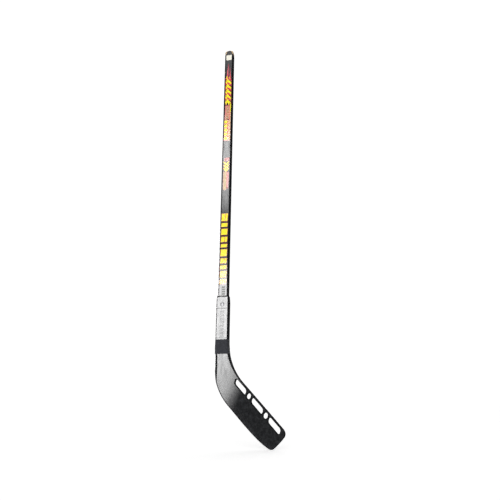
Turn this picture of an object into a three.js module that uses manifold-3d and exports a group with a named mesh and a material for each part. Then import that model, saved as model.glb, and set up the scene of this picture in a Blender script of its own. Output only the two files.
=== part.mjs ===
// A street hockey stick: a laminated wooden shaft in a printed film, and a moulded blade whose
// socket slides over the end of the shaft and is held by two screws.
// Millimetres. +Z runs up the shaft, the blade points to +X and the printed face looks to -Y.
import * as THREE from 'three';
import { mergeVertices } from 'three/addons/utils/BufferGeometryUtils.js';
import Module from 'manifold-3d';

const wasm = await Module();
wasm.setup();

// ---------- driving dimensions ----------
const HEEL_TO_BUTT = 1116;            // a 44 inch stick
const SHAFT = { width: 29.5, depth: 19.5, corner: 4 };
const LIE = THREE.MathUtils.degToRad(46.3);   // how far the sole falls below the level
const BLADE = { length: 209.5, height: 67.5, heelX: -17.5, heelZ: 139.5, toeDepth: 10, curve: 16 };
const SOCKET = { halfWidth: 17.5, depth: 25.5, length: 250.5, tongue: 140, clearance: 0.3 };
const GRIP_BELOW_BUTT = 75;           // the top hand's place, which is the part's origin

// ---------- sizes that follow ----------
const GAP = 0.1;                      // glue line between the layers of the shaft
const FILM = 0.3;
const PLY = 4.5;
const WOOD = {
  width: SHAFT.width - 2 * (FILM + GAP),
  depth: SHAFT.depth - 2 * (FILM + GAP),
  corner: SHAFT.corner - FILM - GAP,
};
const BUTT = BLADE.heelZ + HEEL_TO_BUTT;
const MOUTH = BLADE.heelZ + SOCKET.length;
const TONGUE_END = MOUTH - SOCKET.tongue;
const BUTT_ROUND = 11;                // corners of the butt, seen from the front
const FILM_TOP = { z: BUTT - 2, half: 9, round: 8, shoulder: 17, ease: 3 };   // its worn upper edge
const FILM_END = MOUTH + 0.3;         // the film stops just clear of the socket
const FLARE = { length: 18, width: 1.6 };     // the socket narrows this much at its mouth
const HEEL_RADIUS = 133;
const THROAT_RADIUS = 150;
const BLADE_EDGE = { size: 1.6, thickness: 2 };   // rounding along every edge of the blade
const THINNING = { start: -44, end: 46, depth: 15 };  // the run of u over which the socket thins
const CURL_POWER = 1.6;
const SLOT = { length: 41, width: 12.5, lean: 3, round: 6.6, height: 56, pitch: 64, first: 43.5, count: 3 };
const HOLE = { long: 7.2, short: 5.6 };       // half sizes; its long way leans as the slots' ends do
const SCREW = { head: 4.4, rim: 0.4, cone: 2.4, shank: 2, tip: 3.5, length: 12.7, drop: 25, rearDrop: 43 };
const PILOT = { clearance: 0.3, pastMiddle: 1.5 };
const SCREW_SEAT = { radius: 6.5, depth: 0.8, sinkDepth: 4, headRoom: 0.6 };
const TAPE = { low: 230.2, high: 269.9, gap: 0.3, thickness: 0.5 };
const LABEL = { width: 18.4, height: 21.6, thickness: 0.2, belowButt: 20.8, gap: 0.05 };

const material = (color, roughness, metalness = 0) =>
  new THREE.MeshStandardMaterial({ color, roughness, metalness });
const materials = {
  core: material(0xc9a673, 0.7),
  ply: material(0xd8ba86, 0.65),
  film: material(0x1b1b1e, 0.25),
  blade: material(0x17181b, 0.35),
  steel: material(0x85878a, 0.45, 0.9),
  tape: material(0x34363a, 0.9),
  paper: material(0xf3efdf, 0.8),
};

// ---------- helpers ----------
function toManifold(geometry) {
  const bare = geometry.clone();
  bare.deleteAttribute('normal');
  bare.deleteAttribute('uv');
  const merged = mergeVertices(bare, 1e-5);
  return new wasm.Manifold(new wasm.Mesh({
    numProp: 3,
    vertProperties: new Float32Array(merged.attributes.position.array),
    triVerts: new Uint32Array(merged.index.array),
  }));
}

function toGeometry(solid) {
  const mesh = solid.getMesh();
  const geometry = new THREE.BufferGeometry();
  geometry.setAttribute('position', new THREE.BufferAttribute(mesh.vertProperties, 3));
  geometry.setIndex(new THREE.BufferAttribute(mesh.triVerts, 1));
  geometry.computeVertexNormals();
  return geometry;
}

// A rectangle with round corners, centred on (x, y).
function roundedRectangle(width, height, radius, x = 0, y = 0) {
  const right = x + width / 2 - radius;
  const left = x - width / 2 + radius;
  const top = y + height / 2 - radius;
  const bottom = y - height / 2 + radius;
  const path = new THREE.Shape();
  path.absarc(right, bottom, radius, -Math.PI / 2, 0);
  path.absarc(right, top, radius, 0, Math.PI / 2);
  path.absarc(left, top, radius, Math.PI / 2, Math.PI);
  path.absarc(left, bottom, radius, Math.PI, Math.PI * 1.5);
  path.closePath();
  return path;
}

// A shape drawn in X and Y, standing from z = low to z = high.
function upright(shape, low, high, curveSegments = 6) {
  const geometry = new THREE.ExtrudeGeometry(shape, {
    depth: high - low, bevelEnabled: false, curveSegments,
  });
  geometry.translate(0, 0, low);
  return geometry;
}

// A shape drawn in X and Z, running from y = front to y = rear, with an optional rounded rim.
function across(shape, front, rear, rim = null, curveSegments = 12) {
  const bevel = rim
    ? { bevelEnabled: true, bevelSize: rim.size, bevelOffset: -rim.size, bevelThickness: rim.thickness,
        bevelSegments: 2 }
    : { bevelEnabled: false };
  const inset = rim ? rim.thickness : 0;
  const geometry = new THREE.ExtrudeGeometry(shape, {
    depth: rear - front - 2 * inset, curveSegments, ...bevel,
  });
  geometry.rotateX(Math.PI / 2);
  geometry.translate(0, rear - inset, 0);
  return geometry;
}

function named(name, geometry, look) {
  const mesh = new THREE.Mesh(geometry, look);
  mesh.name = name;
  return mesh;
}

// ---------- the shaft ----------
// A block a little wider than the shaft, with round top corners, that trims the wood.
function woodTrim() {
  const shape = new THREE.Shape();
  const side = SHAFT.width / 2 + 1;
  const centre = side - BUTT_ROUND;
  shape.moveTo(-side, TONGUE_END - 1);
  shape.lineTo(side, TONGUE_END - 1);
  shape.absarc(centre, BUTT - BUTT_ROUND, BUTT_ROUND, 0, Math.PI / 2);
  shape.absarc(-centre, BUTT - BUTT_ROUND, BUTT_ROUND, Math.PI / 2, Math.PI);
  shape.closePath();
  return toManifold(across(shape, -SHAFT.depth, SHAFT.depth));
}

// The film's trim: an arch in the middle, and shoulders where it has worn off the butt's corners.
function filmTrim() {
  const { z, half, round, shoulder, ease } = FILM_TOP;
  const shape = new THREE.Shape();
  const side = SHAFT.width / 2 + 1;
  shape.moveTo(-side, TONGUE_END - 1);
  shape.lineTo(side, TONGUE_END - 1);
  shape.lineTo(side, z - shoulder);
  shape.quadraticCurveTo(half, z - shoulder + ease, half, z - round);
  shape.absarc(half - round, z - round, round, 0, Math.PI / 2);
  shape.absarc(-half + round, z - round, round, Math.PI / 2, Math.PI);
  shape.quadraticCurveTo(-half, z - shoulder + ease, -side, z - shoulder);
  shape.closePath();
  return toManifold(across(shape, -SHAFT.depth, SHAFT.depth));
}

// One outer ply: flat on the glue side, rounded along its two outer edges. side is -1 or 1.
function plyShape(side) {
  const half = WOOD.width / 2;
  const inner = WOOD.depth / 2 - PLY;
  const round = WOOD.corner;
  const shape = new THREE.Shape();
  shape.moveTo(half, inner);
  shape.absarc(half - round, WOOD.depth / 2 - round, round, 0, Math.PI / 2);
  shape.absarc(-half + round, WOOD.depth / 2 - round, round, Math.PI / 2, Math.PI);
  shape.lineTo(-half, inner);
  shape.closePath();
  if (side > 0) return shape;
  const points = shape.getPoints(6).map((point) => new THREE.Vector2(-point.x, -point.y));
  return new THREE.Shape(points);
}

// The hole for a screw's shank, from outside the stick to just past its middle.
function screwClearance(side, z) {
  const length = SOCKET.depth;
  const radius = SCREW.shank + PILOT.clearance;
  const hole = new THREE.CylinderGeometry(radius, radius, length, 20);
  hole.translate(0, side * (length / 2 - PILOT.pastMiddle), z);
  return toManifold(hole);
}

const frontScrewZ = MOUTH - SCREW.drop;
const rearScrewZ = MOUTH - SCREW.rearDrop;
const frontPilot = screwClearance(-1, frontScrewZ);
const rearPilot = screwClearance(1, rearScrewZ);

function shaftCore() {
  const depth = WOOD.depth - 2 * (PLY + GAP);
  const bar = toManifold(new THREE.BoxGeometry(WOOD.width, depth, BUTT - TONGUE_END)
    .translate(0, 0, (BUTT + TONGUE_END) / 2));
  return toGeometry(bar.intersect(woodTrim()).subtract(frontPilot).subtract(rearPilot));
}

function shaftPly(side) {
  const ply = toManifold(upright(plyShape(side), TONGUE_END, BUTT));
  const pilot = side < 0 ? frontPilot : rearPilot;
  return toGeometry(ply.intersect(woodTrim()).subtract(pilot));
}

function shaftFilm() {
  const sleeve = roundedRectangle(SHAFT.width, SHAFT.depth, SHAFT.corner);
  const inside = roundedRectangle(SHAFT.width - 2 * FILM, SHAFT.depth - 2 * FILM, SHAFT.corner - FILM);
  sleeve.holes.push(inside);
  const tube = toManifold(upright(sleeve, FILM_END, BUTT));
  return toGeometry(tube.intersect(filmTrim()));
}

// ---------- the blade ----------
// Blade coordinates: u runs along the sole from the heel's corner, v square to it, towards the top.
const along = new THREE.Vector2(Math.cos(LIE), -Math.sin(LIE));
const square = new THREE.Vector2(Math.sin(LIE), Math.cos(LIE));
const bladePoint = (u, v) => new THREE.Vector2(
  BLADE.heelX + u * along.x + v * square.x,
  BLADE.heelZ + u * along.y + v * square.y,
);

// The length from the corner where two edges meet to where a round of this radius leaves them.
const turn = Math.PI / 2 - LIE;
const tangent = (radius) => radius * Math.tan(turn / 2);

// Where the socket's right side would meet the top edge of the blade, as a u.
const throatU = (SOCKET.halfWidth - BLADE.heelX - BLADE.height * square.x) / along.x;
const throatZ = bladePoint(throatU, BLADE.height).y;

function bladeOutline() {
  const side = SOCKET.halfWidth;
  const mouthSide = side - FLARE.width;
  const flareEnd = MOUTH - FLARE.length;
  const heel = tangent(HEEL_RADIUS);
  const throat = tangent(THROAT_RADIUS);
  const shape = new THREE.Shape();
  shape.moveTo(-mouthSide, MOUTH);
  shape.lineTo(-side, flareEnd);
  shape.lineTo(-side, BLADE.heelZ + heel);
  shape.absarc(-side + HEEL_RADIUS, BLADE.heelZ + heel, HEEL_RADIUS, Math.PI, Math.PI + turn);
  const { length, height } = BLADE;
  const points = [
    bladePoint(length / 2, 0),            // the sole starts to lift
    bladePoint(length - 37.5, 0.2),
    bladePoint(length - 9.5, 9.6),        // the toe's lower corner begins
    bladePoint(length - 1.9, 12.2),
    bladePoint(length - 0.9, 20),         // and ends
    bladePoint(length, 34),
    bladePoint(length - 1.4, 53),         // the toe's upper corner begins
    bladePoint(length - 2.2, height - 1),
    bladePoint(length - 17, height),      // and ends
  ];
  shape.lineTo(points[0].x, points[0].y);
  shape.quadraticCurveTo(points[1].x, points[1].y, points[2].x, points[2].y);
  shape.quadraticCurveTo(points[3].x, points[3].y, points[4].x, points[4].y);
  shape.quadraticCurveTo(points[5].x, points[5].y, points[6].x, points[6].y);
  shape.quadraticCurveTo(points[7].x, points[7].y, points[8].x, points[8].y);
  const leave = bladePoint(throatU + throat, BLADE.height);
  shape.lineTo(leave.x, leave.y);
  shape.absarc(side + THROAT_RADIUS, throatZ + throat, THROAT_RADIUS, Math.PI + turn, Math.PI, true);
  shape.lineTo(side, flareEnd);
  shape.lineTo(mouthSide, MOUTH);
  shape.closePath();
  return shape;
}

// A long slot whose ends lean away from square and are well rounded, centred at u.
function slotPath(u) {
  const { lean, round, height } = SLOT;
  const half = SLOT.length / 2;
  const rise = SLOT.width / 2;
  const corners = [
    [half - lean, rise],
    [-half - lean, rise],
    [-half + lean, -rise],
    [half + lean, -rise],
  ].map(([du, dv]) => bladePoint(u + du, height + dv));
  const path = new THREE.Path();
  corners.forEach((corner, index) => {
    const before = corners[(index + 3) % 4];
    const after = corners[(index + 1) % 4];
    const start = corner.clone().lerp(before, round / corner.distanceTo(before));
    const end = corner.clone().lerp(after, round / corner.distanceTo(after));
    if (index === 0) path.moveTo(start.x, start.y);
    else path.lineTo(start.x, start.y);
    path.quadraticCurveTo(corner.x, corner.y, end.x, end.y);
  });
  path.closePath();
  return path;
}

// An oval hole between two slots.
function holePath(u) {
  const centre = bladePoint(u, SLOT.height);
  const tilt = Math.atan2(SLOT.width / 2, -SLOT.lean) - LIE;
  const path = new THREE.Path();
  path.absellipse(centre.x, centre.y, HOLE.long, HOLE.short, 0, Math.PI * 2, false, tilt);
  return path;
}

// The blade thins from the socket to the toe, and its toe curls towards the printed face.
const smooth = (value) => THREE.MathUtils.smoothstep(value, 0, 1);
const lerp = THREE.MathUtils.lerp;
function depthAt(u) {
  const { start, end, depth } = THINNING;
  if (u < end) return lerp(SOCKET.depth, depth, smooth((u - start) / (end - start)));
  return lerp(depth, BLADE.toeDepth, (u - end) / (BLADE.length - end));
}
const curlAt = (u) => -BLADE.curve * Math.pow(Math.max(u, 0) / BLADE.length, CURL_POWER);

function shapeBlade(geometry) {
  const position = geometry.attributes.position;
  for (let i = 0; i < position.count; i += 1) {
    const dx = position.getX(i) - BLADE.heelX;
    const dz = position.getZ(i) - BLADE.heelZ;
    const u = dx * along.x + dz * along.y;
    position.setY(i, position.getY(i) * depthAt(u) / SOCKET.depth + curlAt(u));
  }
  return geometry;
}

// A shallow round seat for the screw's head, with a countersink in its floor.
function screwSeat(side, z) {
  const { radius, depth, sinkDepth, headRoom } = SCREW_SEAT;
  const seat = new THREE.CylinderGeometry(radius, radius, 2 * depth, 32);
  seat.translate(0, side * SOCKET.depth / 2, z);
  const sink = new THREE.CylinderGeometry(SCREW.head + headRoom, SCREW.shank, sinkDepth, 32);
  if (side < 0) sink.rotateX(Math.PI);
  const floor = SOCKET.depth / 2 - depth;
  sink.translate(0, side * (floor + headRoom / 2 - sinkDepth / 2), z);
  return toManifold(seat).add(toManifold(sink));
}

function blade() {
  const outline = bladeOutline();
  for (let i = 0; i < SLOT.count; i += 1) outline.holes.push(slotPath(SLOT.first + i * SLOT.pitch));
  for (let i = 1; i < SLOT.count; i += 1) outline.holes.push(holePath(SLOT.first + (i - 0.5) * SLOT.pitch));
  const half = SOCKET.depth / 2;
  const body = toManifold(shapeBlade(across(outline, -half, half, BLADE_EDGE, 6)));
  const socket = roundedRectangle(
    SHAFT.width + 2 * SOCKET.clearance, SHAFT.depth + 2 * SOCKET.clearance, SHAFT.corner,
  );
  const cavity = toManifold(upright(socket, TONGUE_END - SOCKET.clearance, MOUTH + 10));
  return toGeometry(body.subtract(cavity)
    .subtract(screwSeat(-1, frontScrewZ))
    .subtract(screwSeat(1, rearScrewZ))
    .subtract(frontPilot)
    .subtract(rearPilot));
}

// ---------- fasteners, tape and label ----------
// A countersunk wood screw, its head at the socket's front (side -1) or rear (side 1).
function bladeScrew(side, z) {
  const profile = [
    new THREE.Vector2(0, 0),
    new THREE.Vector2(SCREW.head, 0),
    new THREE.Vector2(SCREW.head, -SCREW.rim),
    new THREE.Vector2(SCREW.shank, -SCREW.cone - SCREW.rim),
    new THREE.Vector2(SCREW.shank, -SCREW.length + SCREW.tip),
    new THREE.Vector2(0, -SCREW.length),
  ];
  const body = new THREE.LatheGeometry(profile.reverse(), 24);
  if (side < 0) body.rotateX(Math.PI);
  body.translate(0, side * (SOCKET.depth / 2 - SCREW_SEAT.depth), z);
  return body;
}

// A block that follows the neck of the blade, grown all round by this much.
function neckBlock(grow, low, high) {
  const side = SOCKET.halfWidth + grow;
  const centreX = SOCKET.halfWidth + THROAT_RADIUS;
  const centreZ = throatZ + tangent(THROAT_RADIUS);
  const radius = THROAT_RADIUS - grow;
  const shape = new THREE.Shape();
  shape.moveTo(-side, high);
  shape.lineTo(-side, low);
  shape.absarc(centreX, centreZ, radius, Math.PI + Math.asin((centreZ - low) / radius), Math.PI, true);
  shape.lineTo(side, high);
  shape.closePath();
  return toManifold(across(shape, -SOCKET.depth / 2 - grow, SOCKET.depth / 2 + grow));
}

function neckTape() {
  const outer = neckBlock(TAPE.gap + TAPE.thickness, TAPE.low, TAPE.high);
  return toGeometry(outer.subtract(neckBlock(TAPE.gap, TAPE.low - 1, TAPE.high + 1)));
}

function buttLabel() {
  const z = BUTT - LABEL.belowButt - LABEL.height / 2;
  const shape = roundedRectangle(LABEL.width, LABEL.height, 1, 0, z);
  const rear = -SHAFT.depth / 2 - LABEL.gap;
  return across(shape, rear - LABEL.thickness, rear, null, 3);
}

// ---------- the stick ----------
const stick = new THREE.Group();
stick.add(
  named('shaft_core', shaftCore(), materials.core),
  named('shaft_front_ply', shaftPly(-1), materials.ply),
  named('shaft_rear_ply', shaftPly(1), materials.ply),
  named('shaft_film', shaftFilm(), materials.film),
  named('blade', blade(), materials.blade),
  named('front_blade_screw', bladeScrew(-1, frontScrewZ), materials.steel),
  named('rear_blade_screw', bladeScrew(1, rearScrewZ), materials.steel),
  named('neck_tape', neckTape(), materials.tape),
  named('butt_label', buttLabel(), materials.paper),
);
stick.position.z = GRIP_BELOW_BUTT - BUTT;

export default stick;
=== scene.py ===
"""The looks of the street hockey stick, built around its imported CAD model.

The frame is the CAD model's: +Z runs up the shaft, the blade points to +X and the printed face
looks to -Y. Every size here is in millimetres; piece(), softbox() and the camera turn it into metres.
"""
import itertools
import math
import random

import bmesh
import bpy
import numpy as np
from mathutils import Matrix, Vector
from mathutils.geometry import delaunay_2d_cdt


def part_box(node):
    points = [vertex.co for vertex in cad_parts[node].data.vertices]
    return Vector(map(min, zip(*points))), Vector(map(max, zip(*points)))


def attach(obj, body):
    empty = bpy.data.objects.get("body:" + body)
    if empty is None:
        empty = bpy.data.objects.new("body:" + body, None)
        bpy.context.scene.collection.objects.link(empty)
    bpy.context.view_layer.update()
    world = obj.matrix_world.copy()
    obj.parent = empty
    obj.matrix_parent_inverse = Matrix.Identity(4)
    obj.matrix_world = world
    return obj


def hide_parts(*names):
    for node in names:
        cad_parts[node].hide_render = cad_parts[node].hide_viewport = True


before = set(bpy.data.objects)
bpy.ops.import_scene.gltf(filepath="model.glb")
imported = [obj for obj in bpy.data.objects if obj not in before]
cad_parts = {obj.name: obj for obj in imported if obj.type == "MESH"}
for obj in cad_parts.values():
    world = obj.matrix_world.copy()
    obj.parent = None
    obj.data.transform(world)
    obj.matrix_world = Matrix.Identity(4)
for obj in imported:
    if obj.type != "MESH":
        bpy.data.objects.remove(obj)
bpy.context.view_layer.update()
MM = 0.001


def box_mm(node):
    low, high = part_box(node)
    return low / MM, high / MM


def middle_height(node):
    low, high = box_mm(node)
    return (low.z + high.z) / 2


# ---------- sizes from the CAD model ----------
film_low, film_high = box_mm("shaft_film")
_, core_high = box_mm("shaft_core")
ply_low, ply_high = box_mm("shaft_rear_ply")
blade_low, blade_high = box_mm("blade")
label_low, label_high = box_mm("butt_label")
tape_low, tape_high = box_mm("neck_tape")

BUTT = core_high.z
MOUTH = blade_high.z
FLOOR = blade_low.z

# ---------- sizes of the shaft ----------
SHAFT_CORNER = 4.0
FILM = 0.3
FLAT_FACE = film_high.x - SHAFT_CORNER  # half the flat part of the printed face
BUTT_ROUND = 10.0  # corners of the wooden end, seen from the front
BUTT_ARRIS = 3.5  # its rounded edges, seen from the side
WORN_TOP = {"half": 9.0, "round": 8.0, "shoulder": 17.0, "ease": 3.0}  # the film's upper edge
WOOD_CORNER = 3.6
WOOD_STEP = 1.2  # between the points round a layer's section

# ---------- sizes of the blade ----------
LIE = math.radians(46.3)
ALONG = np.array([math.cos(LIE), -math.sin(LIE)])
SQUARE = np.array([math.sin(LIE), math.cos(LIE)])
HEEL = np.array([-17.5, MOUTH - 250.5])
LENGTH = 209.5
HEIGHT = 67.5
SOCKET_HALF = 17.5
SOCKET_DEPTH = 25.5
SOCKET_CORNER = 3.3
FACE_HALF = SOCKET_HALF - 3.4  # half the flat part of the socket's face
MOUTH_HALF = 15.9
FLARE = 18.0
HEEL_RADIUS = 133.0
THROAT_RADIUS = 150.0
TURN = math.pi / 2 - LIE
SLOT_PITCH = 64.0
FIRST_SLOT = 43.5
SLOT_COUNT = 3
SLOT_V = 56.0
SLOT_LENGTH = 41.0
SLOT_WIDTH = 12.5
SLOT_LEAN = 3.0
SLOT_ROUND = 6.6  # how far from a corner its rounding begins
HOLE_LONG = 7.2
HOLE_SHORT = 5.6
SEAT_RADIUS = 6.5
SEAT_DEPTH = 0.8
SEAT_WALL = 0.35
SINK_RADIUS = 5.0  # the screw's countersink
SINK_DEPTH = 1.7
TONGUE = 140.0
CLEARANCE = 0.3


# ---------- flat shapes ----------
def series(first, pitch, count):
    return [first + pitch * index for index in range(count)]


def arc(centre, radius, start, end, steps=8):
    """Points along an arc, whose angles are in radians."""
    angles = np.linspace(start, end, steps + 1)
    return [(centre[0] + radius * math.cos(a), centre[1] + radius * math.sin(a)) for a in angles]


def circle(centre, radius, steps):
    return joined(arc(centre, radius, 0, 2 * math.pi, steps))


def straight(a, b, step=3.0):
    """Points from a to b, about a step apart."""
    count = max(1, round(math.dist(a, b) / step))
    return [tuple(np.array(a) + (np.array(b) - np.array(a)) * i / count) for i in range(count + 1)]


def bow(a, b, c, steps=7):
    """A quadratic curve from a to c that leaves and arrives in the direction of b."""
    a, b, c = np.array(a), np.array(b), np.array(c)
    shares = np.linspace(0, 1, steps + 1)
    return [tuple((1 - t) ** 2 * a + 2 * t * (1 - t) * b + t * t * c) for t in shares]


def joined(*runs):
    """One closed line from runs of points, without the points that repeat."""
    line = []
    for point in [p for run in runs for p in run]:
        if not line or math.dist(line[-1], point) > 1e-3:
            line.append(tuple(float(value) for value in point))
    if math.dist(line[0], line[-1]) < 1e-3:
        line.pop()
    return line


def rounded_rectangle(half_width, half_height, radius, centre=(0, 0), steps=4):
    corners = [(1, 1), (-1, 1), (-1, -1), (1, -1)]
    runs = []
    for index, (sx, sy) in enumerate(corners):
        middle = (centre[0] + sx * (half_width - radius), centre[1] + sy * (half_height - radius))
        runs.append(arc(middle, radius, index * math.pi / 2, (index + 1) * math.pi / 2, steps))
    return joined(*runs)


def signed_area(ring):
    x, y = np.array(ring).T
    return 0.5 * float(np.sum(x * np.roll(y, -1) - np.roll(x, -1) * y))


def counterclockwise(ring):
    return list(ring) if signed_area(ring) > 0 else list(ring)[::-1]


def offset(ring, distances):
    """The ring moved to its own left, which is inwards when it runs counterclockwise, by one distance
    or by one for each point."""
    points = np.array(ring)
    before = points - np.roll(points, 1, axis=0)
    after = np.roll(points, -1, axis=0) - points
    before /= np.linalg.norm(before, axis=1)[:, None]
    after /= np.linalg.norm(after, axis=1)[:, None]
    normal = np.stack([-(before + after)[:, 1], (before + after)[:, 0]], axis=1)
    normal /= np.linalg.norm(normal, axis=1)[:, None]
    side = np.stack([-before[:, 1], before[:, 0]], axis=1)
    mitre = np.maximum((normal * side).sum(1), 0.5)
    return [tuple(p) for p in points + normal * (np.asarray(distances) / mitre)[:, None]]


def distance_to(ring, points):
    """Each point's distance from a closed line."""
    a = np.array(ring)
    d = np.roll(a, -1, axis=0) - a
    nearest = []
    for block in np.array_split(points, max(1, len(points) // 2000)):
        away = block[:, None] - a
        share = np.clip((away * d).sum(2) / (d * d).sum(1), 0, 1)
        nearest.append(np.linalg.norm(away - share[..., None] * d, axis=2).min(1))
    return np.concatenate(nearest)


def smooth(value, low=0.0, high=1.0):
    share = np.clip((value - low) / (high - low), 0, 1)
    return share * share * (3 - 2 * share)


def rounding(distance, radius):
    """How far a surface falls below its face at this distance from an edge rounded to this radius."""
    short = np.maximum(radius - distance, 0)
    return radius - np.sqrt(np.maximum(radius ** 2 - short ** 2, 0))


def around(s, half_width, half_depth, corner):
    """Where a length s along a rounded rectangle comes to, from the middle of its front towards +X,
    and the direction out of it there."""
    a, b, turn = half_width - corner, half_depth - corner, math.pi / 2 * corner
    ends = np.cumsum([0, a, turn, 2 * b, turn, 2 * a, turn, 2 * b, turn, a])
    s = np.mod(s, ends[-1])
    heading = np.interp(s, ends, np.array([0, 0, 1, 1, 2, 2, 3, 3, 4, 4]) * math.pi / 2)
    x = np.interp(s, ends, [0, a, a, a, a, -a, -a, -a, -a, 0])
    y = np.interp(s, ends, [-b, -b, -b, b, b, b, b, -b, -b, -b])
    out = np.stack([np.sin(heading), -np.cos(heading)], axis=1)
    return np.stack([x, y], axis=1) + corner * out, out


def perimeter(half_width, half_depth, corner):
    return 4 * (half_width + half_depth - 2 * corner) + 2 * math.pi * corner


def within(ring, points):
    """Which points lie inside a closed line."""
    a = np.array(ring)
    b = np.roll(a, -1, axis=0)
    inside = np.zeros(len(points), bool)
    near = np.all((points > a.min(0)) & (points < a.max(0)), axis=1)
    x, y = points[near].T
    odd = np.zeros(len(x), bool)
    for (ax, ay), (bx, by) in zip(a, b):
        if ay != by:
            odd ^= ((ay > y) != (by > y)) & (x < ax + (bx - ax) * (y - ay) / (by - ay))
    inside[near] = odd
    return inside


def divide(outline, holes=(), drawn=(), points=(), lines=()):
    """Cuts what is inside outline and outside the holes into triangles, with every drawn shape's edge
    and every open line among their edges. Gives the points, the triangles, and for each triangle the
    last drawn shape that it lies in, or -1."""
    vertices, edges = [], []
    for ring in [outline, *holes, *drawn]:
        first, count = len(vertices), len(ring)
        edges += [(first + i, first + (i + 1) % count) for i in range(count)]
        vertices.extend(Vector(p) for p in ring)
    for line in lines:
        edges += [(len(vertices) + i, len(vertices) + i + 1) for i in range(len(line) - 1)]
        vertices.extend(Vector(p) for p in line)
    vertices.extend(Vector(p) for p in points)
    made = delaunay_2d_cdt(vertices, edges, [], 0, 1e-4, False)
    found = np.array(made[0])
    triangles = np.array(made[2])
    middles = found[triangles].mean(axis=1)
    kept = within(outline, middles)
    for hole in holes:
        kept &= ~within(hole, middles)
    shapes = np.full(len(triangles), -1)
    for index, ring in enumerate(drawn):
        shapes[within(ring, middles)] = index
    triangles, shapes = triangles[kept], shapes[kept]
    used, renumbered = np.unique(triangles, return_inverse=True)
    return found[used], renumbered.reshape(-1, 3).tolist(), shapes


def sheet(x, y, z):
    """Points from their coordinates, of which any can be one number for all."""
    return np.column_stack(np.broadcast_arrays(x, y, z))


def closed_sheet(polygons, outer, inner, wall=()):
    """The vertices and faces of a solid between two sheets that share their polygons. wall gives
    each row of points in the side walls as its share of the way from outer to inner, and how far
    it stands out of the wall."""
    count = len(outer)
    faces = [tuple(p) for p in polygons]
    faces += [tuple(i + count for i in reversed(p)) for p in polygons]
    directed = {edge for p in polygons for edge in zip(p, [*p[1:], p[0]])}
    border = sorted(edge for edge in directed if (edge[1], edge[0]) not in directed)
    rim = list(dict.fromkeys(index for edge in border for index in edge))
    along = {index: np.zeros(3) for index in rim}
    for a, b in border:
        for index in (a, b):
            along[index] += outer[b] - outer[a]
    vertices = [*outer, *inner]
    rows = [dict(zip(rim, rim))]
    for share, bulge in wall:
        rows.append({index: len(vertices) + i for i, index in enumerate(rim)})
        for index in rim:
            out = np.cross(inner[index] - outer[index], along[index])
            point = outer[index] * (1 - share) + inner[index] * share
            vertices.append(point - bulge * out / max(np.linalg.norm(out), 1e-9))
    rows.append({index: index + count for index in rim})
    for near, far in zip(rows, rows[1:]):
        faces += [(near[b], near[a], far[a], far[b]) for a, b in border]
    return vertices, faces


# ---------- pieces ----------
def placed(name, data):
    """A new object in the scene."""
    made = bpy.data.objects.new(name, data)
    bpy.context.scene.collection.objects.link(made)
    return made


def shade(mesh, sharp=35):
    """Shades a mesh smooth, but for edges that turn by more than sharp degrees."""
    mesh.shade_smooth()
    mesh.set_sharp_from_angle(angle=math.radians(sharp))


def piece(name, solid, looks, node, indices=(), sharp=35):
    """A mesh object from a closed sheet in millimetres. It rides on the part and stands for a CAD
    node. indices gives the looks of its first faces; the others have the first look."""
    vertices, faces = solid
    mesh = bpy.data.meshes.new(name)
    mesh.from_pydata([tuple(float(value) * MM for value in v) for v in vertices], [], faces)
    for look in looks:
        mesh.materials.append(look.material)
    for polygon, index in zip(mesh.polygons, indices):
        polygon.material_index = index
    built = bmesh.new()
    built.from_mesh(mesh)
    bmesh.ops.recalc_face_normals(built, faces=built.faces)
    built.to_mesh(mesh)
    built.free()
    shade(mesh, sharp)
    made = placed(name, mesh)
    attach(made, "root")
    if node:
        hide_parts(node)
    return made


def cut(target, solid):
    """Takes a closed sheet, in millimetres, out of a piece."""
    cutter = piece("cutter", solid, [], None)
    modifier = target.modifiers.new("cut", "BOOLEAN")
    modifier.operation = "DIFFERENCE"
    modifier.solver = "EXACT"
    modifier.object = cutter
    graph = bpy.context.evaluated_depsgraph_get()
    cleaned = bpy.data.meshes.new_from_object(target.evaluated_get(graph))
    target.modifiers.clear()
    target.data = cleaned
    bpy.data.objects.remove(cutter)
    shade(cleaned)


# ---------- materials ----------
class Nodes:
    """The node tree of a material or a world, with short names for the nodes used below."""

    def __init__(self, owner):
        owner.use_nodes = True
        self.nodes = owner.node_tree.nodes
        self.links = owner.node_tree.links

    def join(self, source, socket):
        """Links a socket to another node's output, or sets it to a number or a colour."""
        if isinstance(source, tuple):
            socket.default_value = (*source, 1)
        elif isinstance(source, (int, float)):
            socket.default_value = source
        else:
            self.links.new(source, socket)

    def make(self, kind, **inputs):
        """A new node with its inputs joined. A low line in a name stands for a space."""
        node = self.nodes.new("ShaderNode" + kind)
        for name, source in inputs.items():
            self.join(source, node.inputs[name.replace("_", " ")])
        return node

    def math(self, operation, a, b=0.0):
        node = self.make("Math")
        node.operation = operation
        self.join(a, node.inputs[0])
        self.join(b, node.inputs[1])
        return node.outputs["Value"]

    def between(self, share, low, high):
        """A value that runs from low to high as share does from 0 to 1."""
        return self.make("MapRange", Value=share, To_Min=low, To_Max=high).outputs["Result"]


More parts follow.
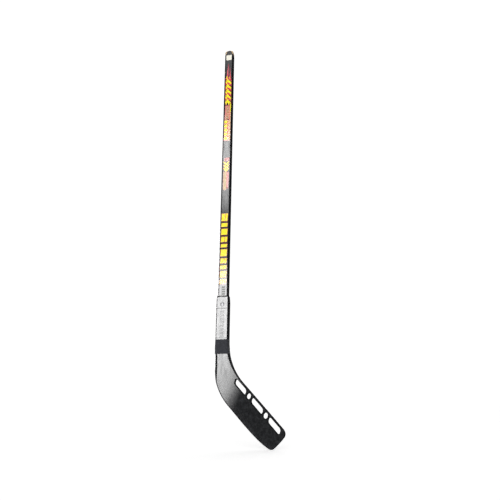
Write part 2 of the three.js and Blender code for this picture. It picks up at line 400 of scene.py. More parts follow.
class Look(Nodes):
    """A material, made around its Principled shader."""

    def __init__(self, name):
        self.material = bpy.data.materials.new(name)
        super().__init__(self.material)
        self.shader = self.nodes["Principled BSDF"]
        self.place = self.make("TexCoord").outputs["Object"]

    def set(self, socket, value):
        self.join(value, self.shader.inputs[socket])

    def scaled(self, source, size):
        """Coordinates that grow by one over each of size's three lengths, in millimetres."""
        node = self.make("Mapping", Vector=source)
        node.inputs["Scale"].default_value = [1 / (length * MM) for length in size]
        return node.outputs["Vector"]

    def noise(self, size, detail=3.0, roughness=0.55, warp=0.0):
        """Noise from 0 to 1, whose patches are about size millimetres along x, y and z."""
        size = size if isinstance(size, tuple) else (size, size, size)
        node = self.make("TexNoise", Vector=self.scaled(self.place, size), Scale=1.0)
        for name, value in (("Detail", detail), ("Roughness", roughness), ("Distortion", warp)):
            node.inputs[name].default_value = value
        return node.outputs["Fac"]

    def waves(self, where, direction, warp):
        node = self.make("TexWave", Vector=where, Scale=1.0, Distortion=warp)
        node.bands_direction = direction
        return node.outputs["Fac"]

    def ramp(self, source, *stops):
        """Takes the source through two stops of (place, grey or colour)."""
        node = self.make("ValToRGB", Fac=source)
        for element, (where, colour) in zip(node.color_ramp.elements, stops):
            element.position = where
            element.color = (*colour, 1) if isinstance(colour, tuple) else (colour, colour, colour, 1)
        return node.outputs["Color"]

    def mix(self, share, a, b):
        node = self.make("Mix")
        node.data_type = "RGBA"
        for socket, value in zip((node.inputs[0], node.inputs[6], node.inputs[7]), (share, a, b)):
            self.join(value, socket)
        return node.outputs[2]

    def attribute(self, name):
        node = self.make("Attribute")
        node.attribute_name = name
        return node.outputs["Fac"]

    def colour(self, source):
        self.set("Base Color", source)

    def roughness(self, source, low, high):
        self.set("Roughness", self.between(source, low, high))

    def bump(self, *layers):
        """Layers of (height, millimetres), each laid over the last."""
        normal = None
        for height, depth in layers:
            node = self.make("Bump", Strength=1.0, Distance=depth * MM, Height=height)
            if normal is not None:
                self.join(normal, node.inputs["Normal"])
            normal = node.outputs["Normal"]
        self.set("Normal", normal)


def wood(name, light, dark):
    """Sanded wood: lengthwise grain, pores, and darker dirt where the grain is open."""
    look = Look(name)
    grain = look.noise((0.9, 0.9, 60), 5, 0.6, 0.6)
    pores = look.noise((0.25, 0.25, 6), 2)
    tone = look.ramp(grain, (0.3, dark), (0.62, light))
    dirt = look.ramp(look.noise((9, 9, 14), 4), (0.5, 0.0), (0.8, 1.0))
    tone = look.mix(look.math("MULTIPLY", dirt, 0.45), tone, (0.28, 0.18, 0.09))
    look.colour(look.mix(look.ramp(pores, (0.62, 0.0), (0.7, 0.6)), tone, dark))
    look.roughness(grain, 0.5, 0.78)
    look.bump((grain, 0.12), (pores, 0.05))
    return look


def film_gloss(look, matt=0.0):
    """What the film and its inks share: a skin with a slight wave and lengthwise rubbing. It is
    glossy, or rougher by matt."""
    rub = look.noise((0.35, 0.35, 45), 4, 0.7)
    smear = look.noise((7, 7, 38), 3)
    both = look.math("ADD", look.math("MULTIPLY", rub, 0.6), look.math("MULTIPLY", smear, 0.4))
    look.roughness(both, 0.06 + matt, 0.28 + matt)
    look.bump((smear, 0.05), (rub, 0.012))
    return rub


def black_film():
    look = Look("black_film")
    rub = film_gloss(look)
    worn = look.ramp(rub, (0.55, 0.0), (0.8, 0.35))
    look.colour(look.mix(worn, (0.008, 0.008, 0.010), (0.05, 0.05, 0.058)))
    return look


def ink(name, colour, faded, matt=0.0):
    """Printed ink: it fades in patches and is rubbed through to the black film in fine scratches."""
    look = Look(name)
    rub = film_gloss(look, matt)
    patch = look.noise((4, 4, 9), 4, 0.6)
    tone = look.mix(look.ramp(patch, (0.45, 0.0), (0.75, 0.8)), colour, faded)
    scratch = look.ramp(rub, (0.68, 0.0), (0.76, 0.8))
    look.colour(look.mix(scratch, tone, (0.02, 0.02, 0.02)))
    return look


def moulded_plastic():
    """The blade: black polyethylene with flow clouds, fine grain and scuffs near its edges. Painted shade
    makes it darker and less glossy from the heel towards the toe."""
    look = Look("moulded_plastic")
    cloud = look.noise(16, 5, 0.62, 0.8)
    grain = look.noise(0.5, 2)
    ripple = look.noise(5, 3)
    scuff = look.noise((1.2, 1.2, 9), 5, 0.75, 1.2)
    worn = look.math("MULTIPLY", look.attribute("wear"), look.ramp(scuff, (0.5, 0.0), (0.62, 1.0)))
    dust = look.noise(9, 5, 0.7, 0.4)
    skin = look.ramp(dust, (0.42, (0.004, 0.0045, 0.0055)), (0.70, (0.024, 0.025, 0.028)))
    tone = look.mix(worn, skin, (0.06, 0.06, 0.063))
    # painted shade: the colour darkens from the heel towards the toe
    shade_darkening = look.math("MULTIPLY", look.attribute("toe_shade"), 0.2)
    look.colour(look.mix(shade_darkening, tone, (0.003, 0.003, 0.0035)))
    shine = look.math("ADD", look.math("MULTIPLY", cloud, 0.8), look.math("MULTIPLY", worn, 0.5))
    look.roughness(shine, 0.08, 0.24)
    haze = look.ramp(look.noise((7, 7, 26), 4, 0.6), (0.45, 0.0), (0.72, 0.4))
    # the gloss falls with random haze and with the painted shade towards the toe
    dull = look.math("MAXIMUM", look.attribute("toe_shade"), haze)
    look.set("Specular IOR Level", look.between(dull, 0.5, 0.008))
    look.bump((cloud, 0.09), (ripple, 0.015), (grain, 0.002))
    return look


def tape_cloth():
    """Matt cloth tape: a plain weave of threads round the neck and up it, with grubby patches."""
    look = Look("tape_cloth")
    node = look.make("UVMap")
    node.uv_map = "wrap"
    thread = look.scaled(node.outputs["UV"], (0.115, 0.115, 1))
    warp = look.waves(thread, "X", 0.4)
    weft = look.waves(thread, "Y", 0.4)
    weave = look.math("MAXIMUM", warp, weft)
    grime = look.noise(8, 4, 0.6)
    fibre = look.noise(0.3, 3)
    tone = look.ramp(grime, (0.3, (0.020, 0.021, 0.025)), (0.7, (0.040, 0.042, 0.050)))
    look.colour(look.mix(look.math("MULTIPLY", weave, 0.3), tone, (0.07, 0.072, 0.085)))
    look.roughness(fibre, 0.75, 1.0)
    look.bump((weave, 0.12), (fibre, 0.05))
    look.set("Specular IOR Level", 0.15)
    look.set("Sheen Weight", 0.06)
    look.set("Sheen Roughness", 0.6)
    return look


def zinc():
    """Zinc-plated steel: brushed, with dull and darker patches."""
    look = Look("zinc_plate")
    look.set("Metallic", 1.0)
    patch = look.noise(1.6, 4, 0.65)
    line = look.noise((0.08, 0.6, 2.5), 3)
    look.colour(look.ramp(patch, (0.3, (0.20, 0.20, 0.21)), (0.7, (0.42, 0.42, 0.43))))
    look.roughness(line, 0.35, 0.6)
    look.bump((line, 0.02), (patch, 0.02))
    return look


def label_paper():
    """A cream paper label: fibres, a faint crease, and a few faded marks that say nothing."""
    look = Look("label_paper")
    fibre = look.noise(0.4, 4, 0.7)
    stain = look.noise(6, 3)
    marks = look.noise((1.6, 10, 0.9), 1)
    tone = look.ramp(stain, (0.35, (0.93, 0.90, 0.76)), (0.7, (0.98, 0.96, 0.86)))
    tone = look.mix(look.ramp(marks, (0.66, 0.0), (0.7, 0.35)), tone, (0.55, 0.45, 0.33))
    look.colour(look.mix(look.math("MULTIPLY", fibre, 0.12), tone, (0.7, 0.62, 0.45)))
    look.roughness(fibre, 0.6, 0.85)
    look.bump((fibre, 0.03))
    return look


# ---------- the wooden shaft ----------
def wooden_end(points):
    """The height of the rounded butt over points of the shaft's section."""
    x, y = np.abs(points).T
    sides = rounding(core_high.x - x, BUTT_ROUND)
    arris = rounding(ply_high.y - y, BUTT_ARRIS)
    return BUTT - sides - arris


def wood_layer(name, node, section, look):
    """A layer of the shaft from its section: rounded at the butt and sawn square in the socket."""
    low, high = box_mm(node)
    step = 1.1
    near_butt, half_way = (0.02, 0), (0.5, 0)
    across = np.arange(low.x + step / 2, high.x, step)
    through = np.arange(low.y + step / 2, high.y, step)
    points, triangles, _ = divide(section, points=itertools.product(across, through))
    top = sheet(*points.T, wooden_end(points))
    bottom = sheet(*points.T, low.z)
    piece(name, closed_sheet(triangles, top, bottom, (near_butt, half_way)), [look], node)


def outer_ply(side):
    """The section of an outer ply: flat where it's glued, with its two outer edges rounded."""
    half, low, high = ply_high.x, ply_low.y, ply_high.y
    flat, turn = half - WOOD_CORNER, high - WOOD_CORNER
    quarter = math.pi / 2
    line = joined(
        straight((half, low), (half, turn), WOOD_STEP),
        arc((flat, turn), WOOD_CORNER, 0, quarter),
        straight((flat, high), (-flat, high), WOOD_STEP),
        arc((-flat, turn), WOOD_CORNER, quarter, 2 * quarter),
        straight((-half, turn), (-half, low), WOOD_STEP),
        straight((-half, low), (half, low), WOOD_STEP),
    )
    return [(x, side * y) for x, y in line]


def build_shaft_wood():
    half = core_high.x
    depth = core_high.y
    corners = [(-half, -depth), (half, -depth), (half, depth), (-half, depth)]
    sides = zip(corners, corners[1:] + corners[:1])
    section = joined(*[straight(a, b, WOOD_STEP) for a, b in sides])
    core = wood("core_wood", (0.60, 0.42, 0.22), (0.40, 0.25, 0.11))
    ply = wood("ply_wood", (0.72, 0.53, 0.30), (0.50, 0.33, 0.16))
    wood_layer("wood_core", "shaft_core", section, core)
    wood_layer("wood_front_ply", "shaft_front_ply", outer_ply(-1), ply)
    wood_layer("wood_rear_ply", "shaft_rear_ply", outer_ply(1), ply)


# ---------- the print on the film ----------
# Shapes are lines of (x, millimetres below the butt). Each band of the print is a function that
# gives (ink, shape) pairs, and later shapes lie over earlier ones.
INKS = {  # colour, faded colour, and how much rougher than gloss
    "yellow": ((1.0, 0.93, 0.003), (0.97, 0.86, 0.012)),
    "red": ((0.72, 0.03, 0.09), (0.70, 0.10, 0.15)),
    "pink": ((0.80, 0.22, 0.22), (0.70, 0.30, 0.24)),
    "peach": ((0.86, 0.50, 0.28), (0.84, 0.56, 0.20)),
    "tan": ((0.52, 0.35, 0.12), (0.44, 0.29, 0.13)),
    "grey": ((0.16, 0.17, 0.16), (0.28, 0.29, 0.26), 0.3),
}


def slanted(left, right, top, bottom, lean):
    """A bar whose top edge is moved sideways by lean."""
    return [(left + lean, top), (right + lean, top), (right, bottom), (left, bottom)]


def grown(shape, by):
    """The shape with its edge moved out."""
    return offset(counterclockwise(shape), -by)


def tongue(tip, bottom, left, right, sway):
    """A flame that widens from its tip, swaying as it goes, and ends in a notch."""
    full_side, lean_side, notch_depth = 0.8, 1.3, 7
    shares = np.linspace(0, 1, 12)
    below = tip[1] + (bottom - tip[1]) * shares
    wave = sway * np.sin(shares * 3 * math.pi) * shares
    near = tip[0] + (left - tip[0]) * shares ** full_side + wave
    far = tip[0] + (right - tip[0]) * shares ** lean_side + wave
    notch = [((left + right) / 2, bottom - notch_depth)]
    return list(zip(near, below)) + notch + list(zip(far, below))[::-1]


def outlined(shape, by):
    """A yellow shape with a red edge."""
    return [("red", grown(shape, by)), ("yellow", shape)]


def flame_band():
    """Two dusky flames under the label."""
    return [
        ("red", tongue((-0.6, 57), 116, -7.4, -1.6, 0.7)),
        ("red", tongue((3.4, 64), 126, 4.0, 9.6, -0.6)),
        ("pink", tongue((-1.4, 70), 106, -5.2, -3.0, 0.3)),
        ("pink", tongue((4.2, 80), 114, 5.6, 7.6, -0.3)),
    ]


def jagged_band():
    """A yellow field with ragged ends, crossed by steep red and dark stripes."""
    field = [
        (-9.4, 128), (-3.4, 112), (-1.4, 119), (5.6, 108), (9.0, 121), (9.0, 216),
        (6.2, 226), (1.4, 214), (-3.4, 228), (-6.2, 216), (-9.8, 222),
    ]
    shapes = outlined(field, 0.9)
    stripes = [
        ("red", [(-9.4, 18), (-9.4, 10.5), (4.0, -1), (4.0, 7)]),
        ("black", [(-9.8, 23), (-9.8, 17.5), (1.5, 10.5)]),
        ("red", [(4.2, 15), (4.2, 9), (9.6, 3), (9.6, 11)]),
        ("black", [(4.4, 18.5), (9.9, 11), (9.9, 16.5)]),
    ]
    for top in series(first=113, pitch=20.3, count=5):
        shapes += [(ink_name, [(x, top + down) for x, down in stripe]) for ink_name, stripe in stripes]
    return [(ink_name, [(-x, below) for x, below in shape]) for ink_name, shape in shapes]


def flecked_band(chance):
    """A pink panel crossed by slanted tan bars, flecked with pink and grey, with a right edge that
    is yellow above and peach below."""
    shapes = [("pink", slanted(-9.6, 6.5, 228, 281, 1.5))]
    left, right, rise, height, flecks = -6.8, 4.2, 5, 4.4, 40
    for top in series(first=231, pitch=7.2, count=7):
        corners = [(left, top + rise), (right, top), (right, top + height), (left, top + height + rise)]
        shapes.append(("tan", corners))
    for _ in range(flecks):
        x = chance.uniform(-9, 5.5)
        below = chance.uniform(226, 280)
        width, height = chance.uniform(0.8, 2.6), chance.uniform(1.5, 4.5)
        colour = chance.choice(["pink", "grey", "red", "grey"])
        shapes.append((colour, slanted(x, x + width, below, below + height, 0.6)))
    shapes.append(("yellow", slanted(6.5, 9.9, 222, 256, 0.5)))
    shapes.append(("peach", slanted(6.5, 9.9, 254, 286, 0.4)))
    shapes.append(("red", slanted(5.2, 6.7, 224, 286, 0.8)))
    return shapes


def beaded_band():
    """Yellow rounded beads on pink at the left, beside a peach stripe."""
    shapes = [
        ("pink", slanted(-10.6, 1.0, 283, 362, 0.6)),
        ("peach", slanted(1.6, 9.9, 286, 362, 0.0)),
    ]
    half_width, half_height, corner = 4.9, 5.6, 2.4
    for below in series(first=291, pitch=15.5, count=5):
        bead = rounded_rectangle(half_width, half_height, corner, (-half_width, below))
        shapes.append(("yellow", bead))
        shapes.append(("pink", slanted(3.0, 8.8, below + 6, below + 8, 1.5)))
    shapes.append(("red", slanted(0.6, 1.7, 284, 362, 0.3)))
    return shapes


def chevron_band():
    """Three yellow chevrons edged with red, under a few pink flecks."""
    shapes = [("pink", slanted(left, left + 3, 424, 436, 1.2)) for left in series(-7, 4, 4)]
    for top in series(first=438, pitch=11, count=3):
        chevron = [
            (-9.8, top), (-4.6, top + 1), (0.0, top + 6), (4.6, top + 1), (9.8, top),
            (3.2, top + 12), (-3.2, top + 12),
        ]
        shapes += outlined(chevron, 0.7)
    return shapes


def round_ended_band():
    """A tan bar with a round lower end, and a pink stripe at its right."""
    bar = [(-7.9, 474), (1.8, 474)] + arc((-3.05, 531), 4.85, 0, math.pi, 10)
    stripe = [(2.6, 476), (8.8, 476), (7.6, 534), (3.2, 524)]
    divider = slanted(1.9, 2.6, 476, 526, 0.0)
    return [("pink", grown(bar, 0.8)), ("tan", bar), ("pink", stripe), ("red", divider)]


def bar_band():
    """Wide slanted yellow bars edged with red. Their heights vary, and each third one is split."""
    shapes = []
    top, edge, gap = 613, 2.4, 2.0
    for index, height in enumerate((26, 14, 21, 18, 12, 23, 17, 13, 20, 15)):
        shapes += outlined(slanted(-10.2, 7.8, top + edge, top + height, 1.0), 0.8)
        if index % 3 == 0:
            shapes.append(("red", slanted(-0.5, 1.0, top + edge, top + height, 1.2)))
        top += height + edge + gap
    return shapes


def mark_band():
    """Small grey marks on a pale panel above the socket."""
    height = 4.6
    tops = series(first=839, pitch=6.4, count=4)
    return [("grey", slanted(-4.5, 5.5, top, top + height, 1.2)) for top in tops]


def artwork():
    chance = random.Random(7)
    return [
        *flame_band(), *jagged_band(), *flecked_band(chance), *beaded_band(),
        *chevron_band(), *round_ended_band(), *bar_band(), *mark_band(),
    ]


# ---------- the film ----------
# It's drawn flat, as a length s round the shaft and a height z, then wrapped round, with its seam in
# the middle of the +X side.
FILM_SIZE = (film_high.x, film_high.y, SHAFT_CORNER)
GIRTH = perimeter(*FILM_SIZE)
QUARTER_TURN = math.pi / 2 * SHAFT_CORNER
SIDE_FLAT = 2 * (film_high.y - SHAFT_CORNER)
SEAM = FLAT_FACE + QUARTER_TURN + SIDE_FLAT / 2


def torn_patch(s, below, width, height, chance):
    """A ragged hole in the film, as a closed line of (s, z)."""
    angles = np.linspace(0, 2 * math.pi, 18, endpoint=False)
    size = [chance.uniform(0.7, 1.15) for _ in angles]
    return [
        (s + width / 2 * k * math.cos(a), BUTT - below + height / 2 * k * math.sin(a))
        for a, k in zip(angles, size)
    ]


def film_top(x):
    """The height of the film's upper edge this far from the middle: an arch, then worn shoulders."""
    half, radius, top = WORN_TOP["half"], WORN_TOP["round"], film_high.z
    shoulder = top - WORN_TOP["shoulder"]
    arch = top - rounding(half - x, radius)
    t = np.sqrt(np.clip((x - half) / (film_high.x + 1 - half), 0, 1))
    eased = 2 * t * (1 - t) * (shoulder + WORN_TOP["ease"])
    worn = (1 - t) ** 2 * (top - radius) + eased + t * t * shoulder
    return np.where(x < half, arch, worn)


def film_plan():
    """The film's flat outline, and the lines where it bends round the shaft's corners."""
    seam_gap, rise, bends_round_corner, columns_across = 0.05, 60, 6, 160
    start, end = SEAM - GIRTH + seam_gap, SEAM - seam_gap
    turned = QUARTER_TURN * np.linspace(0, 1, bends_round_corner + 1)
    bends = [*(FLAT_FACE + turned), *(FLAT_FACE + QUARTER_TURN + SIDE_FLAT + turned)]
    mirrored = [s for bend in bends for s in (bend, -bend, bend - GIRTH)]
    columns = sorted({round(float(s), 4) for s in mirrored if start < s < end})
    evenly = np.linspace(start, end, columns_across)
    across = np.unique(np.round([start, *evenly, *columns, end], 4))
    place, _ = around(across, *FILM_SIZE)
    arch = film_top(np.abs(place[:, 0]))
    folds = [straight((s, film_low.z), (s, z), rise) for s, z in zip(across, arch) if s in columns]
    outline = joined(
        [(s, film_low.z) for s in across],
        straight((end, film_low.z), (end, arch[-1]), rise),
        list(zip(across[::-1], arch[::-1])),
        straight((start, arch[0]), (start, film_low.z), rise),
    )
    return outline, folds


def film_chips():
    """Ragged holes along the shaft's corners, where the wood shows."""
    chance = random.Random(3)
    corner = -FLAT_FACE - QUARTER_TURN / 2
    rear_corner = corner - GIRTH / 2 + 2 * FLAT_FACE + QUARTER_TURN
    chips = [  # length round, millimetres below the butt, width, height
        (corner, 92, 4.4, 6.5),
        (corner - 0.4, 383, 3.6, 9.0),
        (corner + 0.6, 394, 2.4, 5.0),
        (corner, 216, 1.6, 3.5),
        (rear_corner, 470, 2.2, 6.0),
    ]
    return [torn_patch(*chip, chance) for chip in chips]


def build_film():
    """The printed sleeve, which has the same print on the front and the rear."""
    outline, folds = film_plan()
    drawings = artwork()
    drawn = [[(x, BUTT - below) for x, below in shape] for _, shape in drawings]
    drawn += [[(x - GIRTH / 2, z) for x, z in shape] for shape in drawn]
    points, triangles, shapes = divide(outline, film_chips(), drawn, lines=folds)
    place, out = around(points[:, 0], *FILM_SIZE)
    outer = sheet(*place.T, points[:, 1])
    inner = sheet(*(place - FILM * out).T, points[:, 1])
    solid = closed_sheet(triangles, outer, inner)
    looks = [black_film()] + [ink(f"{name}_ink", *colours) for name, colours in INKS.items()]
    names = ["black", *INKS]
    inks = [names.index(name) for name, _ in drawings] * 2
    indices = [0 if shape < 0 else inks[shape] for shape in shapes]
    piece("printed_film", solid, looks, "shaft_film", indices)


# ---------- the blade ----------
def blade_point(u, v):
    """A point of the blade, in x and z: u along the sole from the heel's corner, v square to it."""
    return tuple(HEEL + u * ALONG + v * SQUARE)


def tangent(radius):
    return radius * math.tan(TURN / 2)


THROAT_U = (SOCKET_HALF - HEEL[0] - HEIGHT * SQUARE[0]) / ALONG[0]
THROAT_CENTRE = (SOCKET_HALF + THROAT_RADIUS, blade_point(THROAT_U, HEIGHT)[1] + tangent(THROAT_RADIUS))


def blade_outline():
    mouth = [(-MOUTH_HALF, MOUTH), (MOUTH_HALF, MOUTH)]
    flare = [(-SOCKET_HALF, MOUTH - FLARE), (SOCKET_HALF, MOUTH - FLARE)]
    heel_centre = (HEEL[0] + HEEL_RADIUS, HEEL[1] + tangent(HEEL_RADIUS))
    short_of_toe = [
        (LENGTH / 2, 0), (37.5, 0.2), (9.5, 9.6), (1.9, 12.2), (0.9, 20), (0, 34), (1.4, 53),
        (2.2, HEIGHT - 1), (17, HEIGHT),
    ]
    toe = [blade_point(LENGTH - short, v) for short, v in short_of_toe]
    heel_run = arc(heel_centre, HEEL_RADIUS, math.pi, math.pi + TURN, 30)
    throat_run = arc(THROAT_CENTRE, THROAT_RADIUS, math.pi + TURN, math.pi, 34)
    return joined(
        straight(mouth[0], flare[0]),
        straight(flare[0], heel_run[0]),
        heel_run,
        straight(heel_run[-1], toe[0]),
        bow(*toe[0:3], 26),
        bow(*toe[2:5], 6),
        bow(*toe[4:7], 12),
        bow(*toe[6:9], 12),
        straight(toe[8], throat_run[0]),
        throat_run,
        straight(throat_run[-1], flare[1]),
        straight(flare[1], mouth[1]),
        straight(mouth[1], mouth[0]),
    )


def slot_outline(u):
    """A long slot whose ends lean and are well rounded."""
    half, rise, lean = SLOT_LENGTH / 2, SLOT_WIDTH / 2, SLOT_LEAN
    corners = [(half - lean, rise), (-half - lean, rise), (-half + lean, -rise), (half + lean, -rise)]
    corners = [np.array(blade_point(u + du, SLOT_V + dv)) for du, dv in corners]

    def towards(a, b):
        return a + (b - a) * SLOT_ROUND / math.dist(a, b)

    runs = []
    for before, corner, after in zip(corners[-1:] + corners, corners, corners[1:] + corners[:1]):
        end = towards(corner, after)
        runs += [bow(towards(corner, before), corner, end, 9), straight(end, towards(after, corner), 2.5)]
    return joined(*runs)


def hole_outline(u):
    """An oval whose long way leans as the slots' ends do."""
    lean_u, lean_v = np.array([-SLOT_LEAN, SLOT_WIDTH / 2]) / math.hypot(SLOT_LEAN, SLOT_WIDTH / 2)
    ring = []
    for angle in np.linspace(0, 2 * math.pi, 36, endpoint=False):
        long, short = HOLE_LONG * math.cos(angle), HOLE_SHORT * math.sin(angle)
        du, dv = long * lean_u + short * lean_v, long * lean_v - short * lean_u
        ring.append(blade_point(u + du, SLOT_V + dv))
    return ring


def blade_half_depth(u):
    """Half the blade's thickness at u: the socket's, then thinning to the toe."""
    thin, toe, start, end = 15.0, 10.0, -44.0, 46.0
    neck = SOCKET_DEPTH + (thin - SOCKET_DEPTH) * smooth(u, start, end)
    body = thin + (toe - thin) * (u - end) / (LENGTH - end)
    return np.where(u < end, neck, body) / 2


def blade_curl(u):
    """How far the blade has curled to its front side at u."""
    at_toe, power = -16, 1.6
    return at_toe * (np.maximum(u, 0) / LENGTH) ** power


def u_of(points):
    return (points - HEEL) @ ALONG


def edge_radius(points):
    """The rounding of the blade's outer edges: less at the mouth and down the blade, and most along
    the back of the neck."""
    at_mouth, below_mouth, behind_neck, along_blade = 2.4, 0.6, 5.2, -0.9
    x, z = points.T
    u = u_of(points)
    neck = smooth(MOUTH - z, 128, 170) * (1 - smooth(u, -32, -6)) * smooth(-x, -14, 6)
    socket = at_mouth + below_mouth * smooth(MOUTH - z, 3, 22)
    return socket + behind_neck * neck + along_blade * smooth(u, -20, 60)


HOLE_EDGE = 1.7
LIP_RADIUS = 2.4
LIP_LINES = (0.5, 1.1, 1.9, 2.8, 3.8, 4.8)  # below the mouth, where its rounding needs points
GROOVE = {"below": 36.0, "half": 0.6, "depth": 0.6}
RIDGE = {"below": 117.0, "half": 1.0, "height": 0.15}
BAR_HALF_WIDTH = 4.6
BAR_HALF_HEIGHT = 1.5
BAR_LEAN = 1.4
BAR_STANDS = 0.6  # how far a bar stands out
BAR_SLOPE = 0.45  # how far in its edge slopes
BARS_APART = 3.8  # between the middles of a pair
BAR_PAIRS = series(first=MOUTH - 46, pitch=-9.6, count=8)
BAR_HEIGHTS = [middle + side * BARS_APART / 2 for middle in BAR_PAIRS for side in (-1, 1)]


def bar_rings(inset):
    """The outlines of the raised bars on the socket, this far inside their feet."""
    half_width = BAR_HALF_WIDTH - inset
    half_height = BAR_HALF_HEIGHT - inset
    lean = BAR_LEAN * half_height / BAR_HALF_HEIGHT
    corners = [
        (-half_width - lean, -half_height), (half_width - lean, -half_height),
        (half_width + lean, half_height), (-half_width + lean, half_height),
    ]
    return [[(x, middle + z) for x, z in corners] for middle in BAR_HEIGHTS]


def bar_height(points):
    """The raised bars' height over each point."""
    height = np.zeros(len(points))
    for middle in BAR_HEIGHTS:
        z = points[:, 1] - middle
        x = points[:, 0] - BAR_LEAN * z / BAR_HALF_HEIGHT
        inside = np.minimum(BAR_HALF_WIDTH - np.abs(x), BAR_HALF_HEIGHT - np.abs(z))
        height = np.maximum(height, np.clip(inside / BAR_SLOPE, 0, 1) * BAR_STANDS)
    return height


def socket_relief(points, screw_z):
    """What stands out of a face of the socket: bars and a ridge, less a groove and a screw's seat."""
    x, z = points.T
    below = MOUTH - z
    on_face = smooth(FACE_HALF + 0.2 - np.abs(x), 0, 0.6)
    groove = np.clip(1 - np.abs(below - GROOVE["below"]) / GROOVE["half"], 0, 1) * GROOVE["depth"]
    ridge = smooth(1 - np.abs(below - RIDGE["below"]) / RIDGE["half"]) * RIDGE["height"]
    radius = np.hypot(x, z - screw_z)
    seat = SEAT_DEPTH * smooth(SEAT_RADIUS - radius, 0, SEAT_WALL)
    sink = np.clip(SINK_RADIUS - radius, 0, SINK_DEPTH)
    return (ridge - groove) * on_face + bar_height(points) - seat - sink


def across_face(below, half):
    """Two long narrow boxes across the socket's face, whose long edges a groove or ridge needs."""
    middle = MOUTH - below
    return [slanted(-FACE_HALF, FACE_HALF, middle + up, middle + up - half, 0) for up in (0, half)]


def blade_drawing(outline, holes, screws):
    """The lines that the blade's triangles have to follow: the rounding of its edges, and the edges
    of what stands out of the socket or is sunk into it."""
    radii = edge_radius(np.array(outline))
    drawn = []
    for angle in (20, 40, 60, 80, 90):
        share = 1 - math.cos(math.radians(angle))
        drawn.append(offset(outline, radii * share))
        drawn += [offset(hole, -HOLE_EDGE * share) for hole in holes]
    drawn.append(offset(outline, radii + 0.6))
    drawn += [offset(hole, -HOLE_EDGE - 0.5) for hole in holes]
    drawn += across_face(GROOVE["below"], GROOVE["half"]) + across_face(RIDGE["below"], RIDGE["half"])
    drawn += bar_rings(0) + bar_rings(BAR_SLOPE)
    sunk = [SEAT_RADIUS - SEAT_WALL * share for share in (0, 0.5, 1)]
    sunk += [SINK_RADIUS, SINK_RADIUS - SINK_DEPTH]
    for z in screws:
        drawn += [circle((0, z), radius, 40) for radius in sunk]
    return drawn


def blade_grid(outline, holes):
    """Points in rows, every other row shifted, that keep clear of the outline and the holes."""
    step, edge_room, hole_room = 2.6, 4.2, HOLE_EDGE + 1
    low, high = np.min(outline, axis=0), np.max(outline, axis=0)
    xs, zs = np.meshgrid(np.arange(low[0], high[0], step), np.arange(low[1], high[1], step))
    shift = (np.arange(len(xs)) % 2)[:, None] * step / 2
    grid = np.column_stack([(xs + shift).ravel(), zs.ravel()])
    clear = distance_to(outline, grid) > edge_room
    for hole in holes:
        clear &= distance_to(hole, grid) > hole_room
    return grid[clear]


def build_blade():
    outline = counterclockwise(blade_outline())
    slots = series(FIRST_SLOT, SLOT_PITCH, SLOT_COUNT)
    between_slots = [u + SLOT_PITCH / 2 for u in slots[:-1]]
    holes = [slot_outline(u) for u in slots] + [hole_outline(u) for u in between_slots]
    holes = [counterclockwise(hole) for hole in holes]
    screws = [middle_height("front_blade_screw"), middle_height("rear_blade_screw")]
    lip = [straight((-FACE_HALF, MOUTH - below), (FACE_HALF, MOUTH - below)) for below in LIP_LINES]
    drawn = blade_drawing(outline, holes, screws)
    points, triangles, _ = divide(outline, holes, drawn, blade_grid(outline, holes), lip)

    u = u_of(points)
    fall = rounding(distance_to(outline, points), edge_radius(points))
    fall = np.maximum(fall, rounding((MOUTH - points[:, 1]) / 2, LIP_RADIUS))
    for hole in holes:
        fall = np.maximum(fall, rounding(distance_to(hole, points), HOLE_EDGE))
    half = blade_half_depth(u) - fall
    front = -half - socket_relief(points, screws[0]) + blade_curl(u)
    rear = half + socket_relief(points, screws[1]) + blade_curl(u)
    outer = sheet(points[:, 0], front, points[:, 1])
    inner = sheet(points[:, 0], rear, points[:, 1])
    parting_line = (0.5, 0.25)
    wall = ((0.25, 0), (0.47, 0), parting_line, (0.53, 0), (0.75, 0))
    solid = closed_sheet(triangles, outer, inner, wall)
    blade = piece("moulded_blade", solid, [moulded_plastic()], "blade")
    cut(blade, socket_bore())
    mark_wear_and_toe_shade(blade.data, outline)


def socket_bore():
    """The room for the shaft inside the socket, open at the mouth."""
    past_mouth = 10
    section = rounded_rectangle(film_high.x + CLEARANCE, film_high.y + CLEARANCE, SHAFT_CORNER)
    points, triangles, _ = divide(section)
    top = sheet(*points.T, MOUTH + past_mouth)
    bottom = sheet(*points.T, MOUTH - TONGUE - CLEARANCE)
    return closed_sheet(triangles, top, bottom)


def mark_wear_and_toe_shade(mesh, outline):
    """Stores how scuffed the blade is at each of its points, and the painted shade that darkens it and
    takes down its gloss from the heel towards the toe.
    """
    places = np.zeros(len(mesh.vertices) * 3, np.float32)
    mesh.vertices.foreach_get("co", places)
    places = places.reshape(-1, 3)[:, [0, 2]] / MM
    u = u_of(places)
    v = (places - HEEL) @ SQUARE
    near_edge = 1 - smooth(distance_to(outline, places), 0, 9)
    near_sole = 1 - smooth(v, 2, 26)
    scuffed = (0.25 + 0.75 * np.maximum(near_edge, near_sole)) * smooth(u, -60, 20)
    # painted shade, growing from the heel towards the toe and up the blade
    toe_shade = smooth(u + 0.4 * (v - 13), 0, 75)
    for name, share in {"wear": scuffed, "toe_shade": toe_shade}.items():
        mesh.attributes.new(name, "FLOAT", "POINT").data.foreach_set("value", share.astype(np.float32))


# ---------- screws ----------
def cross_ring(length, half):
    """A plus shape."""
    ring = []
    for cos, sin in ((1, 0), (0, 1), (-1, 0), (0, -1)):
        for x, y in ((length, -half), (length, half), (half, half)):
            ring.append((x * cos - y * sin, x * sin + y * cos))
    return ring


